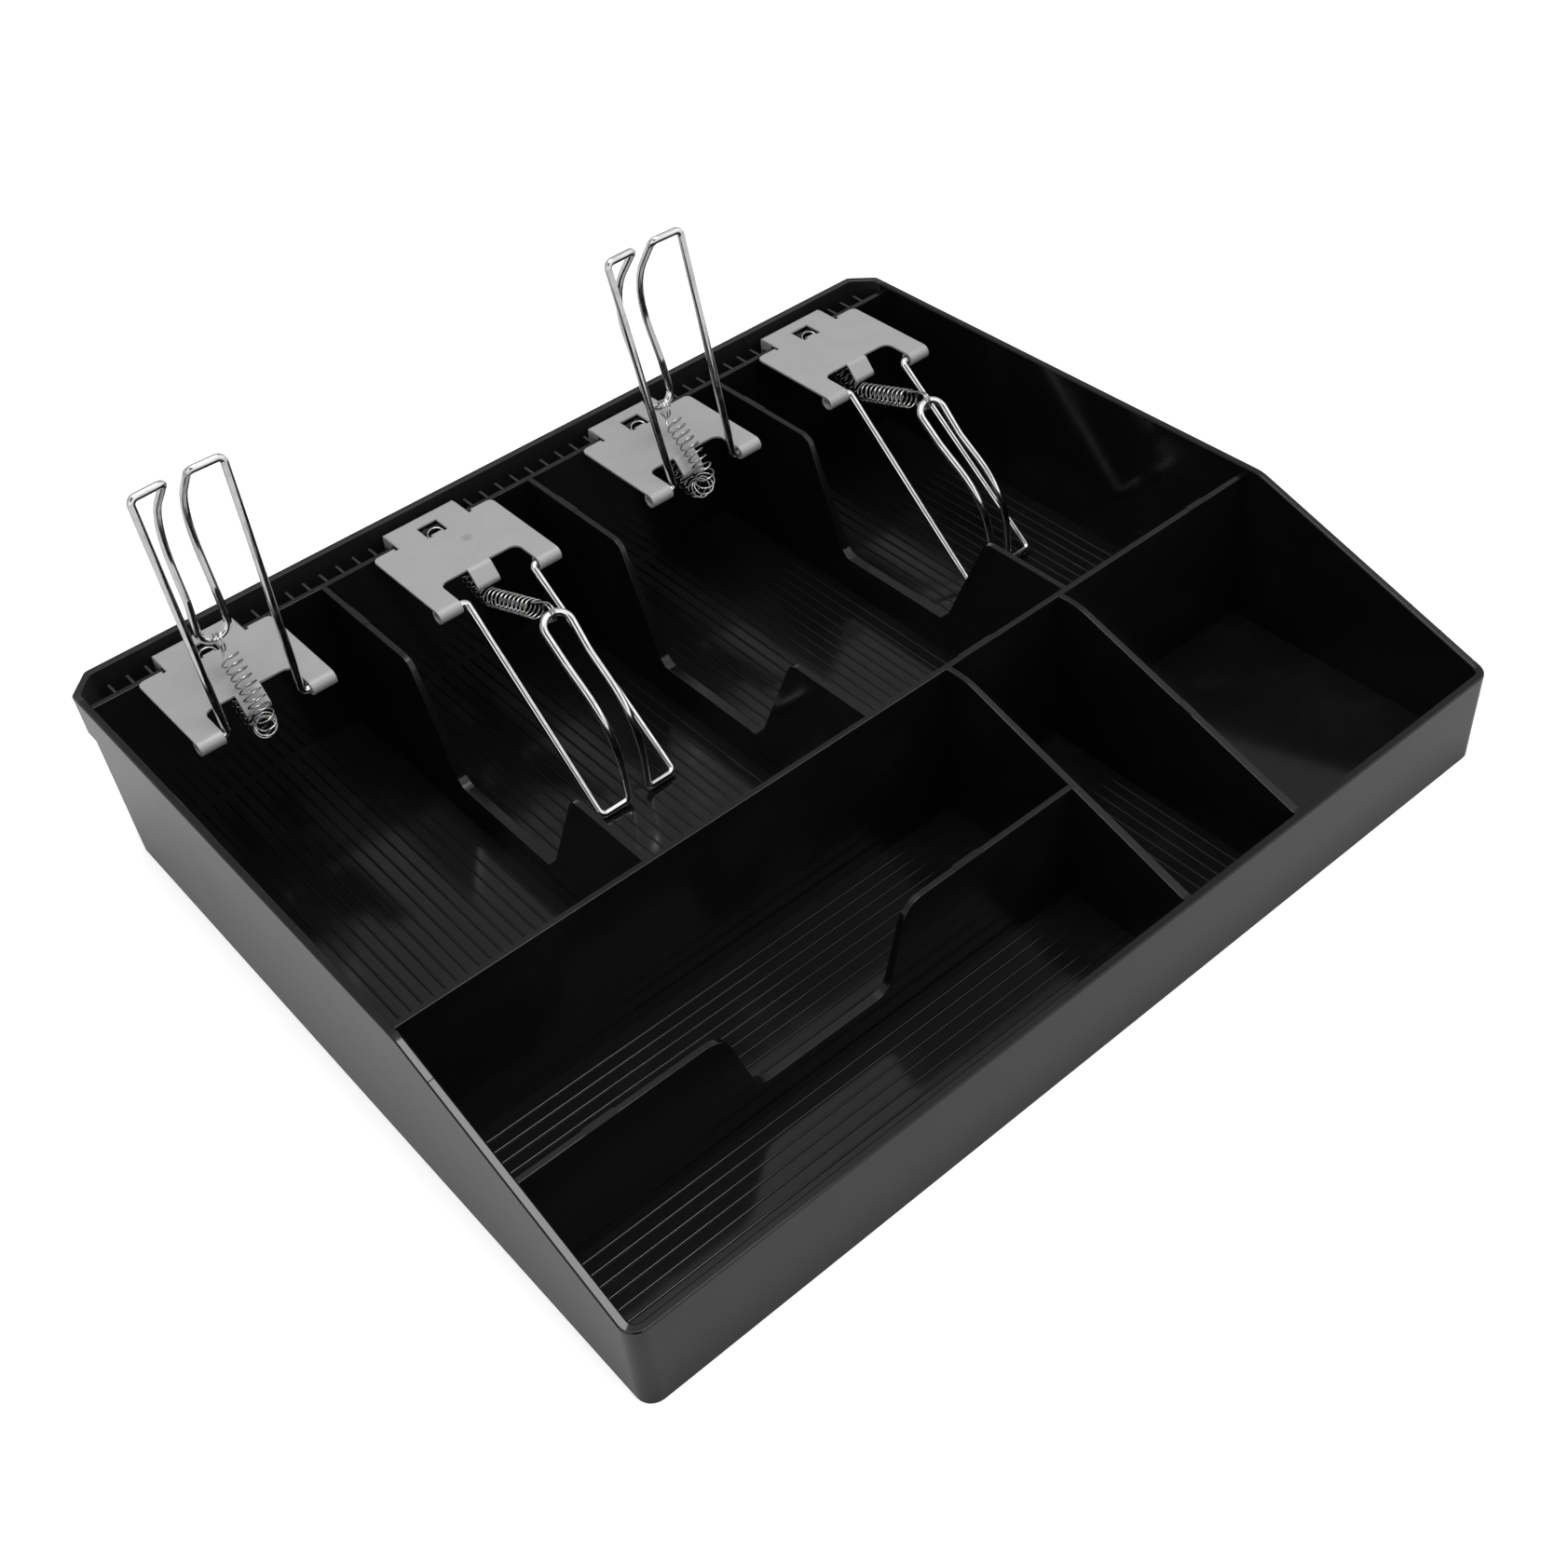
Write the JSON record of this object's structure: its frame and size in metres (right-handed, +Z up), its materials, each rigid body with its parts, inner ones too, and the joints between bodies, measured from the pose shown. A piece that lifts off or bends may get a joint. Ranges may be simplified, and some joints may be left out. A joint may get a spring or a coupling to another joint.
{
  "type": "cash register tray",
  "caption": "Moulded cash drawer insert with open note bays, low coin bays and sprung wire note clips on its rear wall.",
  "frame": {"origin": "under the middle of the tray, on the plane that its foot rim stands on", "axes": "+X along the long side to the right seen from the front, +Y to the rear wall with the clips, +Z up"},
  "size_m": [0.33, 0.2816, 0.1386],
  "materials": {
    "tray_plastic": "fine satin, black",
    "bracket_steel": "satin plated",
    "bail_wire": "bright plated",
    "spring_wire": "drawn, bright"
  },
  "bodies": {
    "tray": {"tray_body": "tray_plastic", "clip_bracket_1": "bracket_steel", "clip_bracket_2": "bracket_steel", "clip_bracket_3": "bracket_steel", "clip_bracket_4": "bracket_steel", "bail_spring_1": "spring_wire", "bail_spring_2": "spring_wire", "bail_spring_3": "spring_wire", "bail_spring_4": "spring_wire"},
    "bail_1": {"bail_wire_1": "bail_wire"},
    "bail_2": {"bail_wire_2": "bail_wire"},
    "bail_3": {"bail_wire_3": "bail_wire"},
    "bail_4": {"bail_wire_4": "bail_wire"}
  },
  "joints": [
    {"name": "bail_swing_1", "type": "hinge", "parent": "tray", "child": "bail_1", "pos_m": [-0.1241, 0.08755, 0.0582], "axis": [-1, 0, 0], "range_deg": [-138, 0], "deforming": ["bail_spring_1"]},
    {"name": "bail_swing_2", "type": "hinge", "parent": "tray", "child": "bail_2", "pos_m": [-0.03965, 0.08755, 0.0582], "axis": [-1, 0, 0], "range_deg": [0, 139.6], "deforming": ["bail_spring_2"]},
    {"name": "bail_swing_3", "type": "hinge", "parent": "tray", "child": "bail_3", "pos_m": [0.04445, 0.08755, 0.0582], "axis": [-1, 0, 0], "range_deg": [-141.3, 0], "deforming": ["bail_spring_3"]},
    {"name": "bail_swing_4", "type": "hinge", "parent": "tray", "child": "bail_4", "pos_m": [0.1229, 0.08755, 0.0582], "axis": [-1, 0, 0], "range_deg": [0, 139.6], "deforming": ["bail_spring_4"]}
  ]
}
